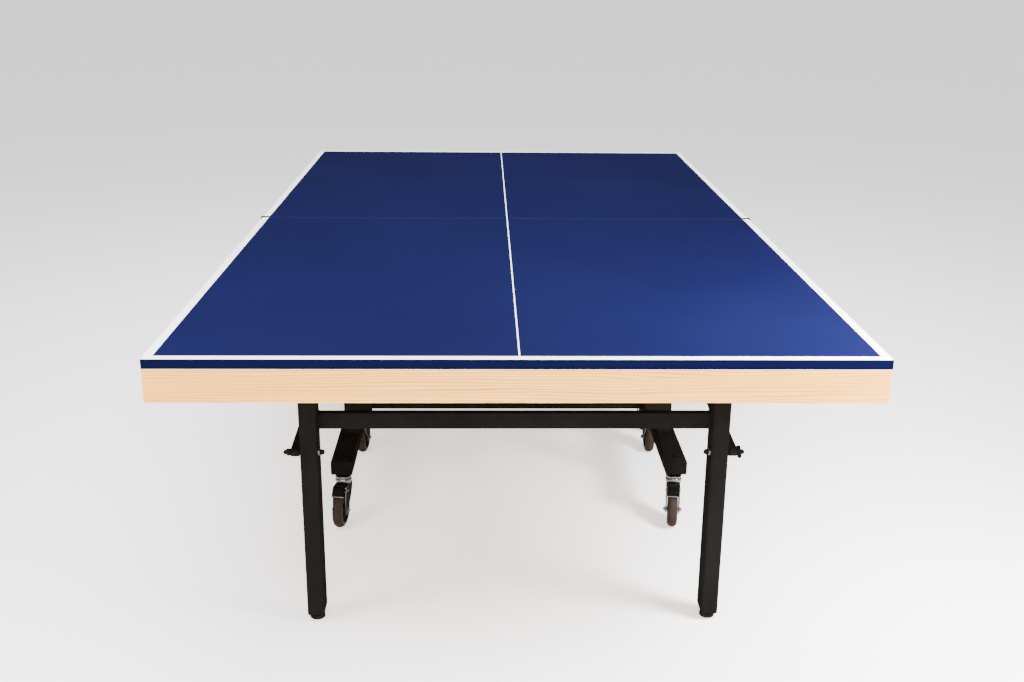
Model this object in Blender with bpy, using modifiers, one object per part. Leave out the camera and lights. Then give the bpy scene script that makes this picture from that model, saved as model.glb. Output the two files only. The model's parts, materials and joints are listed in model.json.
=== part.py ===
"""A full-size ping pong table in two folding halves, in metres, +Z up.

The origin is on the floor under the middle of the table. X runs across the table and Y along it. The
front half lies at negative Y, and its sizes below are in the table's own coordinates. The back half is
the same half turned by 180 degrees about Z. Each half is a board on a steel frame that hinges on a
four-caster trolley, with legs that stay upright while the board folds, because two struts under the
board make a parallelogram with it.
"""

from math import atan2, cos, pi, radians, sin

import bmesh
import bpy
from mathutils import Matrix, Vector

# The table's size
TABLE_LENGTH = 2.74
TABLE_WIDTH = 1.525
PLAY_HEIGHT = 0.76
SEAM = 0.004  # between the two boards
FIT = 0.0003  # gap between pieces that touch

# The board and the ash rim under it
BOARD_THICKNESS = 0.0235
BOARD_ARRIS = 0.001
RIM_HEIGHT = 0.071
RIM_THICKNESS = 0.020
RIM_ARRIS = 0.0018

# The welded ladder frame under the board
LADDER_RAIL_X = (0.362, 0.392)
LADDER_Y = (-1.325, -0.020)
LADDER_RUNGS_Y = (-1.066, -0.620, -0.050)
LADDER_TUBE = (0.030, 0.025)  # width and height of its tubes
LADDER_WALL = 0.0015

# The pivots of the fold, as places in the plane of Y and Z
PANEL_PIVOT = Vector((0, -0.340, 0.7265))
LEG_PIVOT = Vector((0, -1.066, 0.678))
CLAMP_AXIS = Vector((0, -1.096, 0.440))
STRUT_PIVOT = PANEL_PIVOT + CLAMP_AXIS - LEG_PIVOT
PANEL_PIN_RADIUS = 0.005
LEG_PIN_RADIUS = 0.006
BOLT_RADIUS = 0.005
HOLE_CLEARANCE = 0.0003

# The legs
LEG_X = (0.456, 0.496)
LEG_Y = (-1.111, -1.051)
LEG_Z = (0.018, 0.7025)
LEG_WALL = 0.002
CROSSBAR_Y = (-1.075, -1.055)
CROSSBAR_Z = (0.4885, 0.5285)
EAR_THICKNESS = 0.006
EAR_GAP = 0.002  # between a leg and the ears that hold it
EAR_Y = (-1.101, -1.031)
EAR_LOW = 0.654
HAT_THICKNESS = 0.003
HAT_Y = (-1.126, -1.006)

# The levelling feet
FOOT_RADIUS = 0.0185
FOOT_HEIGHT = LEG_Z[0] - 0.0005
FOOT_STEM_RADIUS = 0.005
FOOT_STEM_TOP = 0.060

# The struts, between the legs and the trolley
STRUT_X = (0.4985, 0.5185)
STRUT_HALF_HEIGHT = 0.010
STRUT_END = 0.010  # past each pivot
STRUT_WALL = 0.0015

# The clamp screws that lock the struts to the legs
SCREW_HEAD_X = 0.4425
SCREW_HUB_X = (0.5190, 0.5275)
SCREW_TIP_X = 0.5360
SCREW_HUB_RADIUS = 0.0085
WING_REACH = 0.0165
WING_RADIUS = 0.005

# The trolley
RAIL_X = (0.438, 0.498)
RAIL_Y = (-0.600, -0.045)
RAIL_Z = (0.158, 0.198)
TROLLEY_WALL = 0.002
CROSS_TUBE_Y = (-0.093, -0.053)
UPRIGHT_X = (0.400, 0.480)
UPRIGHT_FOOT_X = 0.440  # its inner side where it stands on the rail
UPRIGHT_FLARE_Z = (0.222, 0.266)
UPRIGHT_Y = (-0.402, -0.362)
UPRIGHT_TOP = 0.705
PIVOT_PLATE_X = (0.394, 0.4008)
PIVOT_PLATE_LOW = 0.600
PIVOT_PLATE_ROUND = 0.0092  # its end turns inside the gap under the board
STUD_COLLAR_RADIUS = 0.0075
STUD_CAP_RADIUS = 0.009
STUD_CAP_X = (0.5190, 0.5225)

# The casters
WHEEL_RADIUS = 0.050
WHEEL_HALF_WIDTH = 0.014
HUB_HALF_WIDTH = 0.0155
AXLE_RADIUS = 0.004
TRAIL = 0.034
FORK_PLATE_X = (0.0165, 0.0195)
FORK_CROWN_Z = (0.1180, 0.1225)
STEM_RADIUS = 0.006
STEM_TOP = 0.172
PEDAL_PIVOT = Vector((0, -0.030, 0.1085))
PEDAL_PIN_RADIUS = 0.0025
PEDAL_HALF_WIDTH = 0.0155
PEDAL_ARC = (98, 128)  # degrees about the axle, from behind the wheel's top
PEDAL_INNER_RADIUS = 0.055
PEDAL_OUTER_RADIUS = 0.064
CASTER_X = 0.468
OUTER_CASTER_Y = -0.564
INNER_CASTER_Y = -0.095

# The brackets that the net posts clamp to, with a lip let in flush with the board
BRACKET_X = (0.7630, 0.7680)
BRACKET_Y = (-0.030, -0.003)
BRACKET_Z = (0.700, PLAY_HEIGHT)
BRACKET_ARRIS = 0.0008
LIP_X = 0.7430
LIP_Y = (-0.026, -0.006)
LIP_THICKNESS = 0.0015

ROUND_SIDES = 12  # sides of a small round bar or hole
WHEEL_SIDES = 20

HALF_WIDTH = TABLE_WIDTH / 2
OUTER_END = -TABLE_LENGTH / 2
INNER_END = -SEAM / 2
BOARD_UNDER = PLAY_HEIGHT - BOARD_THICKNESS
RIM_TOP = BOARD_UNDER - FIT
RIM_LOW = RIM_TOP - RIM_HEIGHT


def clear_scene():
    for obj in list(bpy.data.objects):
        bpy.data.objects.remove(obj)


def new_collection(name):
    collection = bpy.data.collections.new(name)
    bpy.context.scene.collection.children.link(collection)
    return collection


def new_material(name, colour, roughness, metallic):
    material = bpy.data.materials.new(name)
    material.use_nodes = True
    shader = material.node_tree.nodes["Principled BSDF"]
    shader.inputs["Base Color"].default_value = (*colour, 1)
    shader.inputs["Roughness"].default_value = roughness
    shader.inputs["Metallic"].default_value = metallic
    material.diffuse_color = (*colour, 1)
    return material


def drawn(name, sheet):
    """An object in the drawing collection, from a bmesh that it uses up."""
    mesh = bpy.data.meshes.new(name)
    sheet.to_mesh(mesh)
    sheet.free()
    obj = bpy.data.objects.new(name, mesh)
    drawing.objects.link(obj)
    return obj


def apply_modifiers(obj):
    bpy.context.view_layer.update()
    graph = bpy.context.evaluated_depsgraph_get()
    mesh = bpy.data.meshes.new_from_object(obj.evaluated_get(graph))
    obj.modifiers.clear()
    obj.data = mesh
    return obj


def bevel(obj, width, segments=1):
    modifier = obj.modifiers.new("bevel", "BEVEL")
    modifier.width = width
    modifier.segments = segments
    modifier.limit_method = "ANGLE"
    modifier.angle_limit = radians(40)
    return apply_modifiers(obj)


def boolean(obj, operation, others):
    """The object joined with or cut by the others, which are used up."""
    for other in others:
        modifier = obj.modifiers.new(operation.lower(), "BOOLEAN")
        modifier.operation = operation
        modifier.solver = "EXACT"
        modifier.object = other
    apply_modifiers(obj)
    for other in others:
        bpy.data.objects.remove(other)
    return obj


def box(low, high):
    """A box between two corners."""
    low, high = Vector(low), Vector(high)
    sheet = bmesh.new()
    place = Matrix.Translation((low + high) / 2) @ Matrix.Diagonal((*(high - low), 1))
    bmesh.ops.create_cube(sheet, size=1, matrix=place)
    return drawn("box", sheet)


def tube(low, high, along, wall, corner, open_ends=(True, True)):
    """A rectangular tube along one axis (0, 1 or 2), with the ends that are open left out of its shell."""
    shell = box(low, high)
    sheet = bmesh.new()
    sheet.from_mesh(shell.data)
    middle = (low[along] + high[along]) / 2
    ends = [face for face in sheet.faces if abs(face.normal[along]) > 0.5]
    opened = [face for face in ends if open_ends[face.calc_center_median()[along] > middle]]
    bmesh.ops.delete(sheet, geom=opened, context="FACES_ONLY")
    sheet.to_mesh(shell.data)
    sheet.free()
    bevel(shell, corner)
    modifier = shell.modifiers.new("wall", "SOLIDIFY")
    modifier.thickness = wall
    modifier.use_even_offset = True
    return apply_modifiers(shell)


def rod(start, end, radius, segments=ROUND_SIDES):
    """A round bar between two points."""
    start, end = Vector(start), Vector(end)
    direction = end - start
    turn = direction.to_track_quat("Z", "Y").to_matrix().to_4x4()
    place = Matrix.Translation((start + end) / 2) @ turn
    sheet = bmesh.new()
    bmesh.ops.create_cone(
        sheet,
        cap_ends=True,
        segments=segments,
        radius1=radius,
        radius2=radius,
        depth=direction.length,
        matrix=place,
    )
    return drawn("rod", sheet)


def cross_rod(place, x_range, radius, segments=ROUND_SIDES):
    """A round bar along X through a place in the plane of Y and Z."""
    return rod((x_range[0], place.y, place.z), (x_range[1], place.y, place.z), radius, segments)


def ball(centre, sizes, segments=10):
    """An ellipsoid with the three half sizes given."""
    sheet = bmesh.new()
    place = Matrix.Translation(centre) @ Matrix.Diagonal((*sizes, 1))
    rings = segments // 2
    bmesh.ops.create_uvsphere(sheet, u_segments=segments, v_segments=rings, radius=1, matrix=place)
    return drawn("ball", sheet)


def turned(profile, segments, closed=False):
    """A turned shape about Z. The profile is (radius, height) points down its outer side."""
    sheet = bmesh.new()
    points = [sheet.verts.new((radius, 0, height)) for radius, height in profile]
    pairs = list(zip(points, points[1:]))
    if closed:
        pairs.append((points[-1], points[0]))
    for pair in pairs:
        sheet.edges.new(pair)
    obj = drawn("turned", sheet)
    screw = obj.modifiers.new("screw", "SCREW")
    screw.steps = segments
    screw.render_steps = segments
    screw.use_merge_vertices = True
    screw.merge_threshold = 0.00001
    return apply_modifiers(obj)


def flat_plate(outline, x_range):
    """A flat outline of (y, z) points, extruded along X between two values."""
    curve = bpy.data.curves.new("outline", "CURVE")
    curve.dimensions = "2D"
    curve.fill_mode = "BOTH"
    curve.extrude = (x_range[1] - x_range[0]) / 2
    spline = curve.splines.new("POLY")
    spline.points.add(len(outline) - 1)
    for point, (y, z) in zip(spline.points, outline):
        point.co = (y, z, 0, 1)
    spline.use_cyclic_u = True
    guide = bpy.data.objects.new("outline", curve)
    drawing.objects.link(guide)
    bpy.context.view_layer.update()
    graph = bpy.context.evaluated_depsgraph_get()
    mesh = bpy.data.meshes.new_from_object(guide.evaluated_get(graph))
    bpy.data.objects.remove(guide)
    # The curve's own X, Y and Z become Y, Z and X.
    turn = Matrix(((0, 0, 1, 0), (1, 0, 0, 0), (0, 1, 0, 0), (0, 0, 0, 1)))
    mesh.transform(Matrix.Translation((sum(x_range) / 2, 0, 0)) @ turn)
    sheet = bmesh.new()
    sheet.from_mesh(mesh)
    bmesh.ops.remove_doubles(sheet, verts=sheet.verts, dist=0.00001)
    bmesh.ops.recalc_face_normals(sheet, faces=sheet.faces)
    return drawn("plate", sheet)


def arc(centre, radius, start, end, count):
    """Points of an arc in the plane of Y and Z, with its angles in degrees from +Y towards +Z."""
    angles = [radians(start + (end - start) * step / count) for step in range(count + 1)]
    return [(centre.y + radius * cos(angle), centre.z + radius * sin(angle)) for angle in angles]


def finished(obj, name, material, origin=(0, 0, 0), smooth=False):
    """The object's mesh with its own origin, name and material. The drawing object is used up."""
    mesh = obj.data
    bpy.data.objects.remove(obj)
    mesh.name = name
    mesh.transform(Matrix.Translation(-Vector(origin)))
    mesh.materials.clear()
    mesh.materials.append(material)
    if smooth:
        mesh.shade_smooth()
        mesh.set_sharp_from_angle(angle=radians(35))
    return mesh


def mirrored(mesh):
    """The same shape for the other side of the table."""
    other = mesh.copy()
    other.transform(Matrix.Diagonal((-1, 1, 1, 1)))
    other.flip_normals()
    return other


def both_sides(mesh):
    """The mesh for each side, from one drawn at positive X."""
    return {1: mesh, -1: mirrored(mesh)}


def top_board(rebated):
    """The playing board. The rebated one has a shallow rebate at each inner corner for a bracket's lip."""
    obj = box((-HALF_WIDTH, OUTER_END, BOARD_UNDER), (HALF_WIDTH, INNER_END, PLAY_HEIGHT))
    bevel(obj, BOARD_ARRIS)
    if rebated:
        bottom, top = PLAY_HEIGHT - LIP_THICKNESS - FIT, PLAY_HEIGHT + 0.001
        rebates = []
        for side in (-1, 1):
            edges = sorted((side * (LIP_X - FIT), side * (HALF_WIDTH + 0.001)))
            low = (edges[0], LIP_Y[0] - FIT, bottom)
            rebates.append(box(low, (edges[1], LIP_Y[1] + FIT, top)))
        boolean(obj, "DIFFERENCE", rebates)
    return finished(obj, "top_board", blue_lacquer, PANEL_PIVOT)


def end_fascia():
    obj = box((-HALF_WIDTH, OUTER_END, RIM_LOW), (HALF_WIDTH, OUTER_END + RIM_THICKNESS, RIM_TOP))
    return finished(bevel(obj, RIM_ARRIS, 2), "end_fascia", ash_wood, PANEL_PIVOT)


def side_apron():
    low = (HALF_WIDTH - RIM_THICKNESS, OUTER_END + RIM_THICKNESS + FIT, RIM_LOW)
    obj = box(low, (HALF_WIDTH, INNER_END, RIM_TOP))
    return finished(bevel(obj, RIM_ARRIS), "side_apron", ash_wood, PANEL_PIVOT)


def ladder_frame():
    """Two rails and three rungs of square tube, with the hinge pins and the ears for the legs welded on."""
    width, height = LADDER_TUBE
    low, high = RIM_TOP - height, RIM_TOP
    rail_in, rail_out = LADDER_RAIL_X
    start, end = LADDER_Y
    wall = LADDER_WALL
    frame = box((rail_in, start, low), (rail_out, end, high))
    solids = [box((-rail_out, start, low), (-rail_in, end, high))]
    for y in LADDER_RUNGS_Y:
        reach = rail_in + wall / 2
        solids.append(box((-reach, y - width / 2, low), (reach, y + width / 2, high)))
    boolean(frame, "UNION", solids)
    voids = []
    for side in (-1, 1):
        edges = sorted((side * (rail_in + wall), side * (rail_out - wall)))
        voids.append(box((edges[0], start - wall, low + wall), (edges[1], end + wall, high - wall)))
    for y in LADDER_RUNGS_Y:
        reach = rail_in + 2 * wall
        inside = width / 2 - wall
        voids.append(box((-reach, y - inside, low + 2 * wall), (reach, y + inside, high - 2 * wall)))
    boolean(frame, "DIFFERENCE", voids)
    ear_in = LEG_X[0] - EAR_GAP - EAR_THICKNESS
    ear_out = LEG_X[1] + EAR_GAP
    pieces = []
    for side in (-1, 1):
        for x in (ear_in, ear_out):
            edges = sorted((side * x, side * (x + EAR_THICKNESS)))
            ear = box((edges[0], EAR_Y[0], EAR_LOW), (edges[1], EAR_Y[1], high - HAT_THICKNESS / 2))
            pieces.append(ear)
        edges = sorted((side * (rail_out - wall / 2), side * (ear_out + EAR_THICKNESS)))
        pieces.append(box((edges[0], HAT_Y[0], high - HAT_THICKNESS), (edges[1], HAT_Y[1], high)))
        pin_x = (side * (ear_in + EAR_THICKNESS / 2), side * (ear_out + EAR_THICKNESS / 2))
        pieces.append(cross_rod(LEG_PIVOT, pin_x, LEG_PIN_RADIUS))
        pin_x = (side * (rail_out - wall / 2), side * (PIVOT_PLATE_X[1] + 0.0022))
        pieces.append(cross_rod(PANEL_PIVOT, pin_x, PANEL_PIN_RADIUS))
    boolean(frame, "UNION", pieces)
    return finished(frame, "panel_frame", black_steel, PANEL_PIVOT)


def net_bracket():
    plate = box((BRACKET_X[0], BRACKET_Y[0], BRACKET_Z[0]), (BRACKET_X[1], BRACKET_Y[1], BRACKET_Z[1]))
    bevel(plate, BRACKET_ARRIS)
    lip_low = (LIP_X, LIP_Y[0], PLAY_HEIGHT - LIP_THICKNESS)
    lip = box(lip_low, (sum(BRACKET_X) / 2, LIP_Y[1], PLAY_HEIGHT))
    return finished(boolean(plate, "UNION", [lip]), "net_bracket", black_plastic, PANEL_PIVOT)


def leg():
    """A rectangular tube, closed at the floor end, with holes for its hinge pin, clamp screw and foot."""
    obj = tube(
        (LEG_X[0], LEG_Y[0], LEG_Z[0]),
        (LEG_X[1], LEG_Y[1], LEG_Z[1]),
        along=2,
        wall=LEG_WALL,
        corner=0.003,
        open_ends=(False, True),
    )
    through = (LEG_X[0] - 0.01, LEG_X[1] + 0.01)
    centre = Vector((sum(LEG_X) / 2, sum(LEG_Y) / 2, 0))
    cutters = [
        cross_rod(LEG_PIVOT, through, LEG_PIN_RADIUS + HOLE_CLEARANCE),
        cross_rod(CLAMP_AXIS, through, BOLT_RADIUS + HOLE_CLEARANCE),
        rod(centre, centre + Vector((0, 0, 0.03)), FOOT_STEM_RADIUS + HOLE_CLEARANCE),
    ]
    boolean(obj, "DIFFERENCE", cutters)
    return finished(obj, "leg", black_steel, LEG_PIVOT)


def leg_crossbar():
    reach = LEG_X[0] - FIT
    low = (-reach, CROSSBAR_Y[0], CROSSBAR_Z[0])
    obj = tube(low, (reach, CROSSBAR_Y[1], CROSSBAR_Z[1]), along=0, wall=LADDER_WALL, corner=0.002)
    return finished(obj, "leg_crossbar", black_steel, LEG_PIVOT)


def levelling_foot():
    profile = [
        (0, FOOT_STEM_TOP),
        (FOOT_STEM_RADIUS, FOOT_STEM_TOP),
        (FOOT_STEM_RADIUS, FOOT_HEIGHT),
        (0.010, FOOT_HEIGHT),
        (0.010, 0.013),
        (FOOT_RADIUS, 0.008),
        (FOOT_RADIUS, 0),
        (0, 0),
    ]
    return finished(turned(profile, WHEEL_SIDES), "foot", black_plastic, smooth=True)


def strut():
    """A square tube with its origin at its pivot on the trolley, running towards -Y."""
    length = (CLAMP_AXIS - STRUT_PIVOT).length
    half = STRUT_HALF_HEIGHT
    low = (STRUT_X[0], -length - STRUT_END, -half)
    obj = tube(low, (STRUT_X[1], STRUT_END, half), along=1, wall=STRUT_WALL, corner=0.002)
    through = (STRUT_X[0] - 0.01, STRUT_X[1] + 0.01)
    ends = (Vector((0, 0, 0)), Vector((0, -length, 0)))
    cutters = [cross_rod(end, through, BOLT_RADIUS + 2 * HOLE_CLEARANCE) for end in ends]
    return finished(boolean(obj, "DIFFERENCE", cutters), "strut", black_steel)


def clamp_screw():
    """A screw through the leg and the strut, with a domed head inside and a wing grip outside."""
    axis = CLAMP_AXIS
    hub_middle = sum(SCREW_HUB_X) / 2
    obj = cross_rod(axis, (SCREW_HEAD_X + 0.006, SCREW_TIP_X - 0.005), BOLT_RADIUS)
    head_end = LEG_X[0] - FIT
    pieces = [
        cross_rod(axis, (SCREW_HEAD_X + 0.007, head_end), 0.0075),
        ball((SCREW_HEAD_X + 0.0058, axis.y, axis.z), (0.0058, 0.0056, 0.0056)),
        cross_rod(axis, SCREW_HUB_X, SCREW_HUB_RADIUS),
        ball((SCREW_TIP_X - 0.0058, axis.y, axis.z), (0.0058, 0.0056, 0.0056)),
    ]
    for side in (-1, 1):
        start = Vector((hub_middle, axis.y, axis.z))
        tip = start + Vector((0, 0, side * (WING_REACH - WING_RADIUS)))
        pieces.append(rod(start, tip, WING_RADIUS * 0.72, 8))
        pieces.append(ball(tip, (WING_RADIUS, WING_RADIUS, WING_RADIUS)))
    return finished(boolean(obj, "UNION", pieces), "clamp_screw", black_steel, CLAMP_AXIS, smooth=True)


def trolley_rail():
    """The side rail, with a hole in its lower wall for each caster's stem."""
    low = (RAIL_X[0], RAIL_Y[0], RAIL_Z[0])
    high = (RAIL_X[1], RAIL_Y[1], RAIL_Z[1])
    obj = tube(low, high, along=1, wall=TROLLEY_WALL, corner=0.003)
    cutters = []
    for y in (OUTER_CASTER_Y, INNER_CASTER_Y):
        low, high = (CASTER_X, y, RAIL_Z[0] - 0.01), (CASTER_X, y, RAIL_Z[0] + 0.01)
        cutters.append(rod(low, high, STEM_RADIUS + HOLE_CLEARANCE))
    return finished(boolean(obj, "DIFFERENCE", cutters), "trolley_rail", black_steel)


def trolley_cross_tube():
    reach = RAIL_X[0] - FIT
    low = (-reach, CROSS_TUBE_Y[0], RAIL_Z[0])
    obj = tube(low, (reach, CROSS_TUBE_Y[1], RAIL_Z[1]), along=0, wall=TROLLEY_WALL, corner=0.003)
    return finished(obj, "trolley_cross_tube", black_steel)


def post(inner, outer, foot, y_range, z_range, flare):
    """A block from X inner to X outer, which narrows to foot at its lower end."""
    outline = [(outer, z_range[0]), (outer, z_range[1]), (inner, z_range[1])]
    outline += [(inner, flare[1]), (foot, flare[0]), (foot, z_range[0])]
    block = flat_plate(outline, (-y_range[1], -y_range[0]))
    block.data.transform(Matrix.Rotation(-pi / 2, 4, "Z"))
    return block


def upright():
    """The post that carries the board, with its pivot plate inside and the strut's stud outside."""
    wall = TROLLEY_WALL
    (inner, outer), foot = UPRIGHT_X, UPRIGHT_FOOT_X
    z_range = (RAIL_Z[1] + FIT, UPRIGHT_TOP)
    obj = bevel(post(inner, outer, foot, UPRIGHT_Y, z_range, UPRIGHT_FLARE_Z), 0.003)
    hollow_y = (UPRIGHT_Y[0] + wall, UPRIGHT_Y[1] - wall)
    hollow_z = (z_range[0] + wall, z_range[1] + wall)
    hollow = post(inner + wall, outer - wall, foot + wall, hollow_y, hollow_z, UPRIGHT_FLARE_Z)
    boolean(obj, "DIFFERENCE", [hollow])
    front = UPRIGHT_Y[0] + 0.004
    round_end = arc(PANEL_PIVOT, PIVOT_PLATE_ROUND, 90, 0, 5)
    outline = [(front, PIVOT_PLATE_LOW), (front, PANEL_PIVOT.z - 0.012)]
    outline += round_end
    outline += [(PANEL_PIVOT.y + PIVOT_PLATE_ROUND, 0.690), (UPRIGHT_Y[1] - 0.004, PIVOT_PLATE_LOW)]
    plate = flat_plate(outline, PIVOT_PLATE_X)
    hole_x = (PIVOT_PLATE_X[0] - 0.01, UPRIGHT_X[0] + 0.01)
    boolean(plate, "DIFFERENCE", [cross_rod(PANEL_PIVOT, hole_x, PANEL_PIN_RADIUS + HOLE_CLEARANCE)])
    stud = [
        cross_rod(STRUT_PIVOT, (UPRIGHT_X[1] - 0.001, STRUT_X[0] - 0.0005), STUD_COLLAR_RADIUS),
        cross_rod(STRUT_PIVOT, (UPRIGHT_X[1] - 0.0005, STUD_CAP_X[1] - 0.0005), BOLT_RADIUS),
        cross_rod(STRUT_PIVOT, STUD_CAP_X, STUD_CAP_RADIUS),
    ]
    return finished(boolean(obj, "UNION", [plate, *stud]), "upright", black_steel)


def caster_fork():
    """The swivelling fork, drawn with its stem on the Z axis and its wheel trailing towards -Y."""
    head = [
        (0, STEM_TOP),
        (STEM_RADIUS, STEM_TOP),
        (STEM_RADIUS, RAIL_Z[0] - FIT),
        (0.0145, RAIL_Z[0] - FIT),
        (0.0145, 0.1465),
        (0.0230, 0.1450),
        (0.0230, 0.1300),
        (0.0205, 0.1240),
        (0.0205, FORK_CROWN_Z[0] + 0.001),
        (0, FORK_CROWN_Z[0] + 0.001),
    ]
    fork = turned(head, ROUND_SIDES)
    axle = Vector((0, -TRAIL, WHEEL_RADIUS))
    crown_z, crown_top = FORK_CROWN_Z
    outline = [(0.019, crown_z + 0.003), (0.019, 0.108), (-0.006, 0.070)]
    outline += arc(axle, 0.0125, 0, -180, 4)
    outline += [(-0.049, 0.085), (-0.040, 0.112), (-0.036, crown_z + 0.003)]
    pieces = []
    for side in (-1, 1):
        pieces.append(flat_plate(outline, sorted((side * FORK_PLATE_X[0], side * FORK_PLATE_X[1]))))
    reach = FORK_PLATE_X[1] - 0.0005
    pieces.append(box((-reach, -0.036, crown_z), (reach, 0.0185, crown_top)))
    axle_reach = FORK_PLATE_X[1] + 0.006
    pieces.append(cross_rod(axle, (-axle_reach, axle_reach), AXLE_RADIUS, 12))
    pin_reach = FORK_PLATE_X[0] + 0.001
    pieces.append(cross_rod(PEDAL_PIVOT, (-pin_reach, pin_reach), PEDAL_PIN_RADIUS, 10))
    return finished(boolean(fork, "UNION", pieces), "caster_fork", zinc, smooth=True)


def caster_wheel():
    """The wheel about its own axle, which lies along X."""
    half = [
        (AXLE_RADIUS + HOLE_CLEARANCE, HUB_HALF_WIDTH),
        (0.013, HUB_HALF_WIDTH),
        (0.016, 0.010),
        (0.035, 0.010),
        (0.044, WHEEL_HALF_WIDTH),
        (WHEEL_RADIUS, 0.008),
    ]
    profile = half + [(radius, -height) for radius, height in reversed(half)]
    wheel = turned(profile, WHEEL_SIDES, closed=True)
    wheel.data.transform(Matrix.Rotation(pi / 2, 4, "Y"))
    return finished(wheel, "caster_wheel", brown_tread, smooth=True)


def brake_pedal():
    """The foot pedal of a braked caster: a curved plate over the wheel, about its own pin."""
    axle = Vector((0, -TRAIL, WHEEL_RADIUS)) - PEDAL_PIVOT
    origin = Vector((0, 0, 0))
    outline = arc(origin, 0.0055, -10, 100, 5)
    start, end = PEDAL_ARC
    outline += arc(axle, PEDAL_OUTER_RADIUS, start + 10, end, 3)
    outline += arc(axle, PEDAL_INNER_RADIUS, end, start, 4)
    pedal = flat_plate(outline, (-PEDAL_HALF_WIDTH, PEDAL_HALF_WIDTH))
    reach = PEDAL_HALF_WIDTH + 0.01
    hole = cross_rod(origin, (-reach, reach), PEDAL_PIN_RADIUS + HOLE_CLEARANCE, 10)
    boolean(pedal, "DIFFERENCE", [hole])
    return finished(pedal, "brake_pedal", black_plastic)


def empty(name, parent, location, turn=0):
    """An empty on a joint's axis, which carries the pieces that move with that joint."""
    holder = bpy.data.objects.new(name, None)
    holder.empty_display_size = 0.05
    table.objects.link(holder)
    holder.parent = parent
    holder.location = location
    holder.rotation_euler.z = turn
    return holder


def add_part(name, mesh, parent, location=(0, 0, 0), tilt=0):
    part = bpy.data.objects.new(name, mesh)
    table.objects.link(part)
    part.parent = parent
    part.location = location
    part.rotation_euler.x = tilt
    return part


def add_caster(name, parent, place, yaw, braked, shapes):
    swivel = empty(f"{name}_swivel", parent, place, yaw)
    axle = empty(f"{name}_axle", swivel, (0, -TRAIL, WHEEL_RADIUS))
    add_part(f"{name}_fork", shapes["caster_fork"], swivel)
    add_part(f"{name}_wheel", shapes["caster_wheel"], axle)
    if braked:
        add_part(f"{name}_brake_pedal", shapes["brake_pedal"], swivel, PEDAL_PIVOT)


def add_half(half, turn, board, brackets, casters, shapes):
    """One half of the table. Sides are named as they lie in the whole table."""
    root = empty(half, None, (0, 0, 0), turn)
    side_names = {1: "right", -1: "left"} if turn == 0 else {1: "left", -1: "right"}
    panel = empty(f"{half}_panel_hinge", root, PANEL_PIVOT)
    legs = empty(f"{half}_leg_hinge", panel, LEG_PIVOT - PANEL_PIVOT)
    struts = empty(f"{half}_strut_hinge", root, STRUT_PIVOT)
    add_part(f"{half}_top_board", board, panel)
    for piece in ("end_fascia", "panel_frame"):
        add_part(f"{half}_{piece}", shapes[piece], panel)
    add_part(f"{half}_leg_crossbar", shapes["leg_crossbar"], legs)
    add_part(f"{half}_trolley_cross_tube", shapes["trolley_cross_tube"], root)
    run = STRUT_PIVOT - CLAMP_AXIS
    for side, side_name in side_names.items():
        add_part(f"{half}_side_apron_{side_name}", shapes["side_apron"][side], panel)
        if brackets:
            add_part(f"{half}_net_bracket_{side_name}", shapes["net_bracket"][side], panel)
        add_part(f"{half}_leg_{side_name}", shapes["leg"][side], legs)
        foot_place = Vector((side * sum(LEG_X) / 2, sum(LEG_Y) / 2, 0)) - LEG_PIVOT
        add_part(f"{half}_foot_{side_name}", shapes["foot"], legs, foot_place)
        screw_place = CLAMP_AXIS - LEG_PIVOT
        add_part(f"{half}_clamp_screw_{side_name}", shapes["clamp_screw"][side], legs, screw_place)
        add_part(f"{half}_strut_{side_name}", shapes["strut"][side], struts, tilt=atan2(run.z, run.y))
        add_part(f"{half}_trolley_rail_{side_name}", shapes["trolley_rail"][side], root)
        add_part(f"{half}_upright_{side_name}", shapes["upright"][side], root)
        for end, y, braked in (("outer", OUTER_CASTER_Y, True), ("inner", INNER_CASTER_Y, False)):
            name = f"{half}_{end}_{side_name}_caster"
            yaw = radians(casters[end, side])
            add_caster(name, root, (side * CASTER_X, y, 0), yaw, braked, shapes)


clear_scene()
table = new_collection("ping_pong_table")
drawing = new_collection("drawing")

blue_lacquer = new_material("blue_lacquer", (0.020, 0.035, 0.150), 0.38, 0)
ash_wood = new_material("ash_wood", (0.820, 0.600, 0.400), 0.45, 0)
black_steel = new_material("black_steel", (0.016, 0.014, 0.013), 0.42, 0.2)
black_plastic = new_material("black_plastic", (0.020, 0.020, 0.020), 0.50, 0)
zinc = new_material("zinc", (0.420, 0.430, 0.440), 0.35, 1)
brown_tread = new_material("brown_tread", (0.090, 0.055, 0.040), 0.60, 0)

meshes = {
    "end_fascia": end_fascia(),
    "side_apron": both_sides(side_apron()),
    "panel_frame": ladder_frame(),
    "net_bracket": both_sides(net_bracket()),
    "leg": both_sides(leg()),
    "leg_crossbar": leg_crossbar(),
    "foot": levelling_foot(),
    "strut": both_sides(strut()),
    "clamp_screw": both_sides(clamp_screw()),
    "trolley_rail": both_sides(trolley_rail()),
    "trolley_cross_tube": trolley_cross_tube(),
    "upright": both_sides(upright()),
    "caster_fork": caster_fork(),
    "caster_wheel": caster_wheel(),
    "brake_pedal": brake_pedal(),
}
plain_board = top_board(rebated=False)
rebated_board = top_board(rebated=True)
bpy.data.collections.remove(drawing)

# How far each caster is turned about its stem, in degrees, by its end and side of the half
FRONT_CASTERS = {("outer", -1): -10, ("outer", 1): -8, ("inner", -1): 172, ("inner", 1): 180}
BACK_CASTERS = {("outer", -1): 12, ("outer", 1): 6, ("inner", -1): -9, ("inner", 1): 5}
add_half("front", 0, plain_board, False, FRONT_CASTERS, meshes)
add_half("back", pi, rebated_board, True, BACK_CASTERS, meshes)
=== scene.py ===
"""The looks of a full-size ping pong table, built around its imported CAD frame. Metres, +Z up."""

import json
from math import cos, pi, radians, sin

import bmesh
import bpy
from mathutils import Matrix, Vector


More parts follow.
